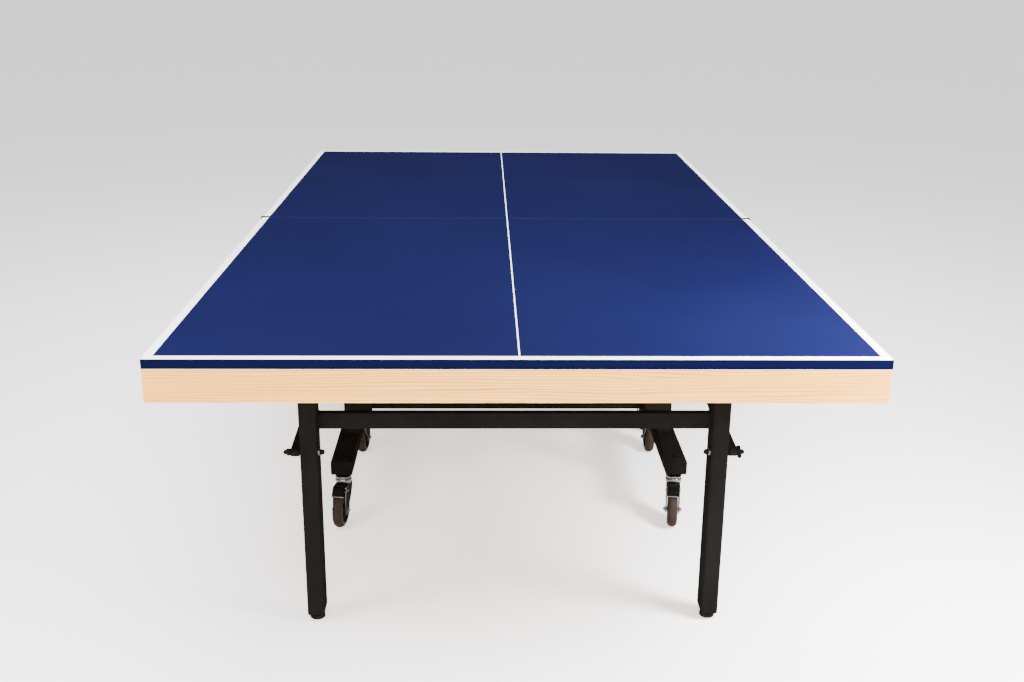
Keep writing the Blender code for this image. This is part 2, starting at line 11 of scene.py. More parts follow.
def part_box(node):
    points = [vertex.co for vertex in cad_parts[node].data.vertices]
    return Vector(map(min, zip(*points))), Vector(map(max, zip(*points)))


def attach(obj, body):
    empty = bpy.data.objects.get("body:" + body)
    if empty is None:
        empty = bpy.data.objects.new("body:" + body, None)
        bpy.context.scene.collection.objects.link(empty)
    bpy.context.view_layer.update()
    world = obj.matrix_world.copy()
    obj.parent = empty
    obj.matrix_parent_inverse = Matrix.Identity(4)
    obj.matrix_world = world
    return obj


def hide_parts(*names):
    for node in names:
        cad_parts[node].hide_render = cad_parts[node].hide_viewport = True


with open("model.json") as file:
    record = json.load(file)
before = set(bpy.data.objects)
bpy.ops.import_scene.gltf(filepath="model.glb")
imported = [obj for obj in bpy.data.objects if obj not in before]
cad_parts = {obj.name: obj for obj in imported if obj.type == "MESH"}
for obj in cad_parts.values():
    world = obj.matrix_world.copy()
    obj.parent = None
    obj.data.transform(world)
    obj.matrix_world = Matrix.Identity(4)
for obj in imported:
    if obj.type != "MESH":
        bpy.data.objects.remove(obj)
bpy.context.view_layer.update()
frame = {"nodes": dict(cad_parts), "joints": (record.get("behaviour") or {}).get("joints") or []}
NODES = frame["nodes"]
JOINTS = {joint["name"]: joint for joint in frame["joints"]}
HALVES = ("front", "back")
SIDES = ("left", "right")
ENDS = ("outer", "inner")

# ---------------------------------------------------------------- the board and a rail, from the frame
RAIL_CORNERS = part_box("front_trolley_rail_left")
BOARD_LOW, BOARD_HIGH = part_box("front_top_board")
HALF_WIDTH = BOARD_HIGH.x
HALF_LENGTH = -BOARD_LOW.y
PLAY_HEIGHT = BOARD_HIGH.z
BORDER_LINE = 0.020
CENTRE_LINE = 0.003
TOP_SKIN = 0.0007  # depth of the white lines below the playing surface
UNDER_SKIN = 0.0021  # bare fibreboard shows up to this height on the edges, painted paler than the underside as a painted highlight line
UNDER_FACE = 0.0003  # and below this height it is the underside itself

# ---------------------------------------------------------------- camera and lights
# A standard table's corners, lines and legs put the photo's camera here
CAMERA_LENS = 41.253
CAMERA_SENSOR = 36
CAMERA_PLACE = (-0.07415, -3.61193, 1.52121)
CAMERA_TURN = (72.1476, -0.51388, -1.31305)

# Name, place, target, size and power
LIGHTS = (
    ("overhead", (0, 0.1, 3.4), (0, 0.1, 0.7), (3.2, 3.2), 300),
    ("front", (-0.3, -4.8, 1.9), (0, -1.37, 0.55), (3.0, 1.6), 250),
    ("corner_right", (1.30, -1.55, 1.30), (0.85, -1.30, 0.76), (0.5, 0.5), 125),
    ("corner_left", (-1.30, -1.55, 1.30), (-0.85, -1.30, 0.76), (0.5, 0.5), 24),
)

FLOOR_RADIUS = 70
FLOOR_DROP = 0.0005


def add_camera():
    data = bpy.data.cameras.new("camera")
    data.lens = CAMERA_LENS
    data.sensor_width = CAMERA_SENSOR
    camera = bpy.data.objects.new("camera", data)
    camera.location = CAMERA_PLACE
    camera.rotation_euler = [radians(turn) for turn in CAMERA_TURN]
    bpy.context.scene.collection.objects.link(camera)
    bpy.context.scene.camera = camera


def add_light(name, place, target, size, power):
    data = bpy.data.lights.new(name, "AREA")
    data.shape = "RECTANGLE"
    data.size, data.size_y = size
    data.energy = power
    light = bpy.data.objects.new(name, data)
    light.location = place
    light.rotation_euler = (Vector(target) - Vector(place)).to_track_quat("-Z", "Y").to_euler()
    bpy.context.scene.collection.objects.link(light)


def add_world():
    """A pale band at the horizon, dim above it, where the board mirrors it, and brighter overhead."""
    world = bpy.data.worlds.new("studio")
    bpy.context.scene.world = world
    world.use_nodes = True
    tree = Tree(world.node_tree)
    height = tree.separate(tree.coords("Generated"), "Z")
    shade = tree.ramp(
        height,
        [
            (0.0, (1, 1, 1)),
            (0.06, (1, 1, 1)),
            (0.10, (0.15, 0.15, 0.16)),
            (0.5, (0.12, 0.12, 0.13)),
            (0.9, (0.55, 0.55, 0.56)),
        ],
    )
    background = world.node_tree.nodes["Background"]
    tree.link(shade, background.inputs["Color"])
    background.inputs["Strength"].default_value = 1.0


def add_floor():
    """A plain pale disc that glows a little, so that it stays close to white out to the horizon."""
    sheet = bmesh.new()
    bmesh.ops.create_circle(sheet, cap_ends=True, segments=96, radius=FLOOR_RADIUS)
    floor = new_object("floor", sheet)
    _, shader, material = new_material("pale_floor", (0.93, 0.93, 0.93), 0.85)
    shader.inputs["Emission Color"].default_value = (1, 1, 1, 1)
    shader.inputs["Emission Strength"].default_value = 1.0
    shader.inputs["Specular IOR Level"].default_value = 0.1
    floor.data.materials.append(material)
    floor.location.z = -FLOOR_DROP


# ---------------------------------------------------------------- node trees
class Tree:
    """Short ways to add and link shader nodes."""

    def __init__(self, node_tree):
        self.nodes = node_tree.nodes
        self.links = node_tree.links

    def link(self, start, end):
        self.links.new(start, end)

    def put(self, value, socket):
        if isinstance(value, (int, float)):
            socket.default_value = value
        elif isinstance(value, tuple):
            socket.default_value = (*value, 1) if len(socket.default_value) == 4 else value
        else:
            self.links.new(value, socket)

    def coords(self, name="Object"):
        return self.nodes.new("ShaderNodeTexCoord").outputs[name]

    def separate(self, vector, axis):
        node = self.nodes.new("ShaderNodeSeparateXYZ")
        self.link(vector, node.inputs[0])
        return node.outputs[axis]

    def scaled(self, vector, scale, shift=(0, 0, 0)):
        node = self.nodes.new("ShaderNodeMapping")
        self.link(vector, node.inputs["Vector"])
        node.inputs["Scale"].default_value = scale
        node.inputs["Location"].default_value = shift
        return node.outputs[0]

    def math(self, operation, a, b=0.0, c=0.0):
        node = self.nodes.new("ShaderNodeMath")
        node.operation = operation
        for value, socket in zip((a, b, c), node.inputs):
            self.put(value, socket)
        return node.outputs[0]

    def noise(self, vector, scale, detail=3, roughness=0.5, distortion=0.0):
        node = self.nodes.new("ShaderNodeTexNoise")
        self.link(vector, node.inputs["Vector"])
        node.inputs["Scale"].default_value = scale
        node.inputs["Detail"].default_value = detail
        node.inputs["Roughness"].default_value = roughness
        node.inputs["Distortion"].default_value = distortion
        return node.outputs[0]

    def voronoi(self, vector, scale):
        node = self.nodes.new("ShaderNodeTexVoronoi")
        self.link(vector, node.inputs["Vector"])
        node.inputs["Scale"].default_value = scale
        return node.outputs["Distance"]

    def ramp(self, factor, stops):
        node = self.nodes.new("ShaderNodeValToRGB")
        self.link(factor, node.inputs[0])
        elements = node.color_ramp.elements
        while len(elements) < len(stops):
            elements.new(0.5)
        for element, (position, colour) in zip(elements, stops):
            element.position = position
            element.color = (*colour, 1)
        return node.outputs[0]

    def mix(self, factor, a, b):
        node = self.nodes.new("ShaderNodeMix")
        node.data_type = "RGBA"
        self.put(factor, node.inputs["Factor"])
        self.put(a, node.inputs["A"])
        self.put(b, node.inputs["B"])
        return node.outputs["Result"]

    def span(self, value, low, high, to_low=0.0, to_high=1.0):
        node = self.nodes.new("ShaderNodeMapRange")
        self.link(value, node.inputs["Value"])
        node.inputs["From Min"].default_value = low
        node.inputs["From Max"].default_value = high
        node.inputs["To Min"].default_value = to_low
        node.inputs["To Max"].default_value = to_high
        return node.outputs[0]

    def bump(self, height, strength, distance, onto=None):
        node = self.nodes.new("ShaderNodeBump")
        self.link(height, node.inputs["Height"])
        node.inputs["Strength"].default_value = strength
        node.inputs["Distance"].default_value = distance
        if onto is not None:
            self.link(onto, node.inputs["Normal"])
        return node.outputs[0]


def new_material(name, colour, roughness, metallic=0.0):
    material = bpy.data.materials.new(name)
    material.use_nodes = True
    shader = material.node_tree.nodes["Principled BSDF"]
    shader.inputs["Base Color"].default_value = (*colour, 1)
    shader.inputs["Roughness"].default_value = roughness
    shader.inputs["Metallic"].default_value = metallic
    return Tree(material.node_tree), shader, material


def thin_gloss(shader, weight, roughness):
    """A weak clear layer in place of the base's own gloss, for finishes that keep dark at a low angle."""
    shader.inputs["Specular IOR Level"].default_value = 0.0
    shader.inputs["Coat Weight"].default_value = weight
    shader.inputs["Coat Roughness"].default_value = roughness


def blue_lacquer():
    """Blue playing lacquer with white lines on top, a darker blue on the edges as painted shade, raw
    fibreboard below with a paler strip at the foot of the edges as a painted highlight line.
    """
    tree, shader, material = new_material("blue_lacquer", (0.0055, 0.0066, 0.040), 0.4)
    thin_gloss(shader, 0.12, 0.28)
    place = tree.coords()
    x = tree.math("ABSOLUTE", tree.separate(place, "X"))
    y = tree.math("ABSOLUTE", tree.separate(place, "Y"))
    z = tree.separate(place, "Z")
    side_line = tree.math("GREATER_THAN", x, HALF_WIDTH - BORDER_LINE)
    end_line = tree.math("GREATER_THAN", y, HALF_LENGTH - BORDER_LINE)
    centre = tree.math("LESS_THAN", x, CENTRE_LINE / 2)
    line = tree.math("MAXIMUM", tree.math("MAXIMUM", side_line, end_line), centre)
    on_top = tree.math("GREATER_THAN", z, PLAY_HEIGHT - TOP_SKIN)
    line = tree.math("MULTIPLY", line, on_top)
    under = tree.math("LESS_THAN", z, BOARD_LOW.z + UNDER_SKIN)
    tree.link(tree.span(on_top, 0, 1, 0.02, 0.12), shader.inputs["Coat Weight"])
    cloud = tree.noise(place, 2.2, 4, 0.55)
    speck = tree.noise(place, 650, 2, 0.6)
    tone = tree.span(cloud, 0.3, 0.7)
    blue = tree.mix(tone, (0.0036, 0.0042, 0.0262), (0.0046, 0.0054, 0.0320))
    blue = tree.mix(tree.span(speck, 0.35, 0.75, 0.0, 0.30), blue, (0.0085, 0.0105, 0.058))
    white = tree.mix(tree.span(speck, 0.3, 0.7), (0.80, 0.81, 0.84), (0.88, 0.89, 0.92))
    fibre = tree.noise(place, 260, 5, 0.7)
    strand = tree.noise(tree.scaled(place, (60, 240, 60)), 1.0, 5, 0.65)
    flake = tree.mix(fibre, (0.34, 0.21, 0.11), (0.58, 0.40, 0.24))
    flake = tree.mix(tree.span(strand, 0.45, 0.72, 0.0, 0.55), flake, (0.25, 0.145, 0.07))
    # Bare fibreboard at the foot of the edges, painted far paler than the same board underneath: a painted
    # highlight line where the edge meets the fascia.
    bare_edge_board_highlight = tree.mix(fibre, (0.72, 0.54, 0.40), (0.88, 0.76, 0.64))
    board = tree.mix(tree.math("LESS_THAN", z, BOARD_LOW.z + UNDER_FACE), bare_edge_board_highlight, flake)
    # The edges get a darker blue than the top: painted shade, to hold down the light that the front lamp
    # throws on them.
    shaded_edge_blue = tree.mix(tone, (0.0022, 0.0028, 0.0175), (0.0029, 0.0036, 0.0215))
    blue = tree.mix(on_top, shaded_edge_blue, blue)
    colour = tree.mix(under, tree.mix(line, blue, white), board)
    tree.link(colour, shader.inputs["Base Color"])
    worn = tree.noise(place, 5.0, 6, 0.6)
    rough = tree.span(worn, 0.25, 0.75, 0.33, 0.45)
    rough = tree.math("ADD", rough, tree.math("MULTIPLY", under, 0.35))
    tree.link(rough, shader.inputs["Roughness"])
    peel = tree.noise(place, 420, 3, 0.55)
    normal = tree.bump(peel, 0.10, 0.0006)
    normal = tree.bump(line, 0.35, 0.00008, normal)
    tree.link(normal, shader.inputs["Normal"])
    return material


def ash_wood(name, along, rings, shift):
    """Ash with its grain along X or Y: growth rings in faint wavy lines, and open pores."""
    tree, shader, material = new_material(name, (0.86, 0.43, 0.17), 0.45)
    place = tree.scaled(tree.coords(), (1, 1, 1), shift)
    across = tree.separate(place, "Y" if along == "X" else "X")
    height = tree.separate(place, "Z")
    stretch = (1.0, 14.0, 14.0) if along == "X" else (14.0, 1.0, 14.0)
    slow = tree.noise(tree.scaled(place, stretch), 1.3, 3, 0.5, 0.3)
    sway = tree.noise(tree.scaled(place, stretch), 4.5, 2, 0.5)
    ring = tree.math("MULTIPLY", tree.math("ADD", height, tree.math("MULTIPLY", across, 0.35)), rings)
    ring = tree.math("ADD", ring, tree.math("MULTIPLY", slow, 6.5))
    ring = tree.math("ADD", ring, tree.math("MULTIPLY", sway, 0.8))
    phase = tree.math("FRACT", ring)
    late = tree.ramp(
        phase,
        [
            (0.0, (0, 0, 0)),
            (0.45, (0.15, 0.15, 0.15)),
            (0.80, (0.75, 0.75, 0.75)),
            (0.92, (1, 1, 1)),
            (1.0, (0, 0, 0)),
        ],
    )
    fine = (9.0, 900.0, 900.0) if along == "X" else (900.0, 9.0, 900.0)
    pores = tree.noise(tree.scaled(place, fine), 1.0, 3, 0.6)
    streak = (2.0, 150.0, 150.0) if along == "X" else (150.0, 2.0, 150.0)
    streaks = tree.noise(tree.scaled(place, streak), 1.0, 3, 0.55)
    broad = tree.noise(tree.scaled(place, stretch), 0.9, 2, 0.5)
    pale = tree.mix(tree.span(broad, 0.35, 0.65), (0.950, 0.480, 0.105), (0.910, 0.410, 0.080))
    pale = tree.mix(tree.span(streaks, 0.35, 0.7, 0.0, 0.35), pale, (0.820, 0.350, 0.070))
    strength = tree.span(tree.noise(tree.scaled(place, stretch), 2.4, 2, 0.5), 0.3, 0.7, 0.45, 1.0)
    colour = tree.mix(tree.math("MULTIPLY", late, strength), pale, (0.560, 0.200, 0.035))
    pore_mask = tree.math("MULTIPLY", tree.span(pores, 0.60, 0.72), tree.span(phase, 0.55, 0.95, 0.1, 0.8))
    colour = tree.mix(pore_mask, colour, (0.480, 0.170, 0.030))
    tree.link(colour, shader.inputs["Base Color"])
    tree.link(tree.span(streaks, 0.3, 0.7, 0.36, 0.50), shader.inputs["Roughness"])
    normal = tree.bump(pores, 0.20, 0.0003)
    tree.link(normal, shader.inputs["Normal"])
    thin_gloss(shader, 0.35, 0.32)
    return material


def powder_coat():
    """Black powder coat: a fine pebbled skin with a faint warm cast and a few rubbed places."""
    tree, shader, material = new_material("black_powder_coat", (0.0062, 0.0055, 0.0051), 0.42)
    thin_gloss(shader, 0.006, 0.38)
    place = tree.coords()
    pebble = tree.noise(place, 900, 2, 0.5)
    cloud = tree.noise(place, 7, 5, 0.6)
    colour = tree.mix(tree.span(cloud, 0.3, 0.7), (0.0056, 0.0049, 0.0046), (0.0078, 0.0070, 0.0067))
    rub = tree.math("MULTIPLY", tree.span(tree.noise(place, 38, 6, 0.7), 0.66, 0.78), 0.25)
    colour = tree.mix(rub, colour, (0.020, 0.018, 0.017))
    tree.link(colour, shader.inputs["Base Color"])
    tree.link(tree.span(cloud, 0.25, 0.75, 0.36, 0.50), shader.inputs["Roughness"])
    tree.link(tree.bump(pebble, 0.22, 0.0004), shader.inputs["Normal"])
    return material


def zinc_plate(name, colour, roughness):
    """Clouded zinc plate over pressed steel."""
    tree, shader, material = new_material(name, colour, roughness, 1.0)
    place = tree.coords()
    cloud = tree.noise(place, 60, 5, 0.6)
    dark = tuple(0.72 * value for value in colour)
    tree.link(tree.mix(tree.span(cloud, 0.3, 0.7), dark, colour), shader.inputs["Base Color"])
    tree.link(tree.span(cloud, 0.3, 0.75, roughness - 0.06, roughness + 0.16), shader.inputs["Roughness"])
    tree.link(tree.bump(tree.noise(place, 700, 2), 0.12, 0.0003), shader.inputs["Normal"])
    return material


def fork_shade_paint():
    """Dark paint on the faces of the zinc fork plates and its crown: painted shade, for the dark rail and
    legs that the zinc mirrors.
    """
    tree, shader, material = new_material("fork_shade_paint", (0.007, 0.006, 0.005), 0.45)
    thin_gloss(shader, 0.05, 0.35)
    place = tree.coords()
    cloud = tree.noise(place, 80, 5, 0.6)
    colour = tree.mix(tree.span(cloud, 0.3, 0.7), (0.0048, 0.0041, 0.0035), (0.0092, 0.0080, 0.0068))
    tree.link(colour, shader.inputs["Base Color"])
    tree.link(tree.span(cloud, 0.3, 0.75, 0.38, 0.55), shader.inputs["Roughness"])
    tree.link(tree.bump(tree.noise(place, 800, 2), 0.15, 0.0003), shader.inputs["Normal"])
    return material


def tread_rubber():
    """Dull dark brown rubber with a little grit in it."""
    tree, shader, material = new_material("brown_tread", (0.040, 0.025, 0.017), 0.6)
    thin_gloss(shader, 0.06, 0.5)
    place = tree.coords()
    cloud = tree.noise(place, 45, 5, 0.6)
    grit = tree.noise(place, 900, 3, 0.6)
    colour = tree.mix(tree.span(cloud, 0.3, 0.7), (0.017, 0.0115, 0.0080), (0.028, 0.0195, 0.0140))
    colour = tree.mix(tree.span(grit, 0.62, 0.75, 0, 0.5), colour, (0.048, 0.037, 0.029))
    tree.link(colour, shader.inputs["Base Color"])
    tree.link(tree.span(cloud, 0.3, 0.7, 0.52, 0.72), shader.inputs["Roughness"])
    tree.link(tree.bump(grit, 0.3, 0.0004), shader.inputs["Normal"])
    return material


def moulded_plastic(name, depth, gloss):
    """Black moulded plastic, with a depth that scales its colour and the weight of its gloss; a depth below
    1 is painted shade, for parts deep under the table.
    """
    low = tuple(depth * value for value in (0.0055, 0.0050, 0.0046))
    high = tuple(depth * value for value in (0.0090, 0.0082, 0.0076))
    tree, shader, material = new_material(name, high, 0.5)
    thin_gloss(shader, gloss, 0.42)
    place = tree.coords()
    grain = tree.voronoi(place, 1100)
    cloud = tree.noise(place, 30, 4, 0.6)
    colour = tree.mix(tree.span(cloud, 0.3, 0.7), low, high)
    tree.link(colour, shader.inputs["Base Color"])
    tree.link(tree.span(cloud, 0.3, 0.7, 0.42, 0.56), shader.inputs["Roughness"])
    tree.link(tree.bump(grain, 0.15, 0.0003), shader.inputs["Normal"])
    return material


GROWTH_RINGS = 155.0  # to the metre

MATERIALS = {
    "blue": blue_lacquer(),
    "ash_x": ash_wood("ash_across", "X", GROWTH_RINGS, (0.37, 0.0, 0.0)),
    "ash_y": ash_wood("ash_along", "Y", GROWTH_RINGS, (0.0, 0.61, 0.02)),
    "steel": powder_coat(),
    "zinc": zinc_plate("zinc_plate", (0.11, 0.115, 0.12), 0.30),
    "ring": zinc_plate("polished_zinc", (0.125, 0.135, 0.130), 0.20),
    # The fork's crown and plate faces wear this dark paint as painted shade.
    "fork": fork_shade_paint(),
    "tread": tread_rubber(),
    "plastic": moulded_plastic("moulded_black", 1.0, 0.10),
    # The caps' plastic is the black plastic at less than half its colour: painted shade for the rail plugs,
    # stem bolts and pedals deep under the table.
    "cap": moulded_plastic("shaded_black_plastic", 0.45, 0.03),
}


# ---------------------------------------------------------------- shapes
def new_object(name, sheet):
    mesh = bpy.data.meshes.new(name)
    sheet.to_mesh(mesh)
    sheet.free()
    obj = bpy.data.objects.new(name, mesh)
    bpy.context.scene.collection.objects.link(obj)
    return obj


def apply_modifiers(obj):
    """Turns an object's modifiers into its mesh."""
    bpy.context.view_layer.update()
    graph = bpy.context.evaluated_depsgraph_get()
    mesh = bpy.data.meshes.new_from_object(obj.evaluated_get(graph))
    obj.modifiers.clear()
    obj.data = mesh
    return obj


def bevelled(obj, width, segments=3, angle=30):
    """Rounds every edge that is sharper than an angle in degrees."""
    modifier = obj.modifiers.new("bevel", "BEVEL")
    modifier.width = width
    modifier.segments = segments
    modifier.limit_method = "ANGLE"
    modifier.angle_limit = radians(angle)
    return apply_modifiers(obj)


def smooth(obj, angle=35):
    """Shades an object smooth, and keeps the edges sharper than an angle in degrees."""
    obj.data.shade_smooth()
    obj.data.set_sharp_from_angle(angle=radians(angle))
    return obj


def box(low, high):
    """A plain block between two corners."""
    low, high = Vector(low), Vector(high)
    sheet = bmesh.new()
    place = Matrix.Translation((low + high) / 2) @ Matrix.Diagonal((*(high - low), 1))
    bmesh.ops.create_cube(sheet, size=1, matrix=place)
    return new_object("box", sheet)


def rod(start, end, radius, segments=32):
    """A round bar between two points."""
    start, end = Vector(start), Vector(end)
    direction = end - start
    place = Matrix.Translation((start + end) / 2) @ direction.to_track_quat("Z", "Y").to_matrix().to_4x4()
    sheet = bmesh.new()
    bmesh.ops.create_cone(
        sheet,
        cap_ends=True,
        segments=segments,
        radius1=radius,
        radius2=radius,
        depth=direction.length,
        matrix=place,
    )
    return new_object("rod", sheet)


def turned(profile, segments=64, closed=False):
    """A turned shape about Z, from (radius, height) points down its outer side."""
    sheet = bmesh.new()
    points = [sheet.verts.new((radius, 0, height)) for radius, height in profile]
    pairs = list(zip(points, points[1:]))
    if closed:
        pairs.append((points[-1], points[0]))
    for pair in pairs:
        sheet.edges.new(pair)
    obj = new_object("turned", sheet)
    screw = obj.modifiers.new("screw", "SCREW")
    screw.steps = segments
    screw.render_steps = segments
    screw.use_merge_vertices = True
    screw.merge_threshold = 0.00001
    return apply_modifiers(obj)


def joined(name, pieces):
    """One mesh object from several, which are used up."""
    sheet = bmesh.new()
    for piece in pieces:
        bpy.context.view_layer.update()
        mesh = piece.data.copy()
        mesh.transform(piece.matrix_world)
        sheet.from_mesh(mesh)
        bpy.data.objects.remove(piece)
        bpy.data.meshes.remove(mesh)
    return new_object(name, sheet)


def to_x(obj):
    """Turns a shape made about Z so that its axis lies along X."""
    obj.data.transform(Matrix.Rotation(pi / 2, 4, "Y"))
    return obj


def hex_nut(across, thickness, bolt=0.0):
    """A nut about Z that stands on z = 0, with a bolt's end past it where a bolt radius is given."""
    sheet = bmesh.new()
    corner = across / 2 / cos(pi / 6)
    bmesh.ops.create_cone(
        sheet,
        cap_ends=True,
        segments=6,
        radius1=corner,
        radius2=corner,
        depth=thickness,
        matrix=Matrix.Translation((0, 0, thickness / 2)),
    )
    nut = bevelled(new_object("nut", sheet), thickness * 0.12, 2)
    if bolt:
        end = rod((0, 0, thickness * 0.5), (0, 0, thickness + 0.0022), bolt, 24)
        bevelled(end, 0.0006, 2, 50)
        return joined("nut", [nut, end])
    return nut


def finish(obj, name, material, body):
    """Names a piece, gives it its material, and makes it ride on its body."""
    obj.name = name
    obj.data.name = name
    obj.data.materials.clear()
    obj.data.materials.append(material)
    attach(obj, body)


def copy_of(shape, name, material, body, place):
    """A piece that shares the mesh of a pattern shape."""
    obj = bpy.data.objects.new(name, shape)
    bpy.context.scene.collection.objects.link(obj)
    if not shape.materials:
        shape.materials.append(material)
    obj.matrix_world = place
    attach(obj, body)
    return obj


def pattern(obj, angle=35):
    """The smooth mesh of a drawing object, which is used up."""
    smooth(obj, angle)
    mesh = obj.data
    bpy.data.objects.remove(obj)
    return mesh


# ---------------------------------------------------------------- CAD nodes that stay
# Each node's material, and the rounding of its edges in metres
KEPT = {
    "top_board": ("blue", None),
    "end_fascia": ("ash_x", None),
    "side_apron": ("ash_y", None),
    "panel_frame": ("steel", 0.0006),
    "net_bracket": ("plastic", None),
    "leg_left": ("steel", 0.0009),
    "leg_right": ("steel", 0.0009),
    "leg_crossbar": ("steel", 0.0007),
    "strut": ("steel", 0.0007),
    "trolley_rail": ("steel", 0.0009),
    "trolley_cross_tube": ("steel", 0.0009),
    "upright": ("steel", 0.0009),
}


def dress_node(name, obj):
    """Gives a CAD node that stays its material, and rounds the edges of the steel ones."""
    for word, (material, rounding) in KEPT.items():
        if f"_{word}_" not in f"{name}_":
            continue
        obj.data.materials.clear()
        obj.data.materials.append(MATERIALS[material])
        if rounding:
            weld = obj.modifiers.new("weld", "WELD")
            weld.merge_threshold = 0.00005
            edge = obj.modifiers.new("edge", "BEVEL")
            edge.width = rounding
            edge.segments = 2
            edge.limit_method = "ANGLE"
            edge.angle_limit = radians(28)
            edge.use_clamp_overlap = True
        return


# ---------------------------------------------------------------- casters
# A caster is drawn about the foot of its stem, with its wheel trailing towards -Y
WHEEL_RADIUS = 0.050
TRAIL = 0.034
PLATE_X = (0.0165, 0.0195)  # the two faces of a fork plate
CROWN_Z = 0.1200  # foot of the boss that the bearing race stands on
RACE_LOW = 0.1225
RACE_HIGH = 0.1450
RAIL_LOW = RAIL_CORNERS[0].z
AXLE = Vector((0, -TRAIL, WHEEL_RADIUS))
AXLE_RADIUS = 0.0039
PEDAL_PIVOT = Vector((0, -0.030, 0.1085))
RIB_COUNT = 6


def tread_shape():
    """The tyre, about its own axle: a fully rounded tread."""
    profile = []
    for step in range(19):
        angle = radians(180 * step / 18)
        profile.append((0.0385 + 0.0115 * sin(angle), 0.0136 * cos(angle)))
    profile += [(0.0376, -0.0100), (0.0376, 0.0100)]
    return pattern(to_x(turned(profile, 96, closed=True)), 50)


def core_shape():
    """The black wheel centre: rim, a dished web with six ribs on each side, and a stepped hub."""
    half = [
        (0.0046, 0.0150),
        (0.0112, 0.0150),
        (0.0120, 0.0144),
        (0.0128, 0.0105),
        (0.0150, 0.0088),
        (0.0300, 0.0082),
        (0.0318, 0.0090),
        (0.0325, 0.0112),
        (0.0335, 0.0124),
        (0.0368, 0.0124),
        (0.0378, 0.0116),
        (0.0380, 0.0100),
    ]
    profile = half + [(radius, -height) for radius, height in reversed(half)]
    pieces = [turned(profile, 72, closed=True)]
    for index in range(RIB_COUNT):
        rib = box((0.0122, -0.0011, -0.0108), (0.0326, 0.0011, 0.0108))
        bevelled(rib, 0.0006, 2)
        rib.data.transform(Matrix.Rotation(2 * pi * index / RIB_COUNT, 4, "Z"))
        pieces.append(rib)
    return pattern(to_x(joined("core", pieces)))


def rim_shape():
    """The thin bright rim lines, one on each side, where the tyre meets its centre."""
    ring = [
        (0.0374, 0.0122),
        (0.0374, 0.0134),
        (0.0380, 0.0140),
        (0.0388, 0.0141),
        (0.0392, 0.0134),
        (0.0392, 0.0122),
    ]
    pieces = []
    for side in (-1, 1):
        pieces.append(turned([(radius, side * height) for radius, height in ring], 72, closed=True))
    return pattern(to_x(joined("rim", pieces)), 50)


def hub_tube_shape():
    """The zinc spacer tube in the hub, between the fork plates."""
    half = [(0.0043, 0.0156), (0.0062, 0.0156), (0.0066, 0.0152)]
    profile = half + [(radius, -height) for radius, height in reversed(half)]
    return pattern(to_x(turned(profile, 40, closed=True)))


def fork_outline(inset=0.0):
    """The side plate's outline as (y, z) points, drawn in by an inset."""
    points = [(0.0190 - inset, 0.1195 - inset), (0.0190 - inset, 0.1080)]
    points += [(0.0165 - inset, 0.0985), (0.0080 - inset, 0.0835), (-0.0060 - inset * 0.8, 0.0700)]
    points.append((-0.0180 - inset * 0.6, 0.0595))
    radius = 0.0125 - inset
    for step in range(13):
        angle = radians(10 - 195 * step / 12)
        points.append((AXLE.y + radius * cos(angle), AXLE.z + radius * sin(angle)))
    points += [(-0.0485 + inset, 0.0640), (-0.0492 + inset, 0.0800), (-0.0455 + inset, 0.0980)]
    points += [(-0.0395 + inset, 0.1120), (-0.0370 + inset, 0.1195 - inset)]
    return points


def plate(outline, low, high):
    """An outline of (y, z) points, extruded along X."""
    sheet = bmesh.new()
    front = [sheet.verts.new((high, y, z)) for y, z in outline]
    back = [sheet.verts.new((low, y, z)) for y, z in outline]
    sheet.faces.new(front)
    sheet.faces.new(list(reversed(back)))
    count = len(outline)
    for index in range(count):
        after = (index + 1) % count
        sheet.faces.new((front[index], back[index], back[after], front[after]))
    bmesh.ops.recalc_face_normals(sheet, faces=sheet.faces)
    return new_object("plate", sheet)


def fork_shape():
    """The bright edges of the pressed fork's two side plates."""
    pieces = []
    for side in (-1, 1):
        low, high = sorted((side * PLATE_X[0], side * PLATE_X[1]))
        pieces.append(bevelled(plate(fork_outline(), low, high), 0.0009, 3))
    return pattern(joined("fork", pieces), 40)


def fork_shade_sheet_shape():
    """The fork's crown, and the faces of its side plates inside their bright zinc edges, as a sheet in dark
    paint: painted shade.
    """
    pieces = []
    for side in (-1, 1):
        low, high = sorted((side * (PLATE_X[0] - 0.0002), side * (PLATE_X[1] + 0.0002)))
        pieces.append(plate(fork_outline(0.0011), low, high))
    crown = box((-PLATE_X[1] + 0.0002, -0.0365, 0.1176), (PLATE_X[1] - 0.0002, 0.0186, 0.1222))
    pieces.append(bevelled(crown, 0.0016, 3))
    boss = [
        (0, 0.1262),
        (0.0178, 0.1262),
        (0.0196, 0.1250),
        (0.0206, 0.1222),
        (0.0206, CROWN_Z),
        (0, CROWN_Z),
    ]
    pieces.append(turned(boss, 64))
    return pattern(joined("fork_shade_sheet", pieces), 40)


def swivel_ring_shape():
    """The bearing race: two pressed cups with a ball gap between."""
    profile = [
        (0, RACE_HIGH),
        (0.0190, RACE_HIGH),
        (0.0212, 0.1442),
        (0.0226, 0.1422),
        (0.0230, 0.1400),
        (0.0222, 0.1378),
        (0.0212, 0.1368),
        (0.0213, 0.1358),
        (0.0224, 0.1348),
        (0.0233, 0.1325),
        (0.0235, 0.1290),
        (0.0230, 0.1255),
        (0.0218, RACE_LOW),
        (0, RACE_LOW),
    ]
    return pattern(turned(profile, 96), 45)


def collar_shape():
    """The stem's hexagon collar and washer under the rail, and the plain stem inside it."""
    nut = hex_nut(across=0.0205, thickness=0.0062)
    nut.location.z = RAIL_LOW - 0.0086
    disc = [(0, 0.0003), (0.0143, 0.0003), (0.0146, 0.0010), (0.0140, 0.0022), (0, 0.0022)]
    washer = turned([(radius, RAIL_LOW - depth) for radius, depth in disc], 48)
    neck = rod((0, 0, 0.1448), (0, 0, RAIL_LOW - 0.0080), 0.0118, 48)
    stem = rod((0, 0, RAIL_LOW - 0.001), (0, 0, 0.172), 0.0059, 24)
    return pattern(joined("collar", [nut, washer, neck, stem]))


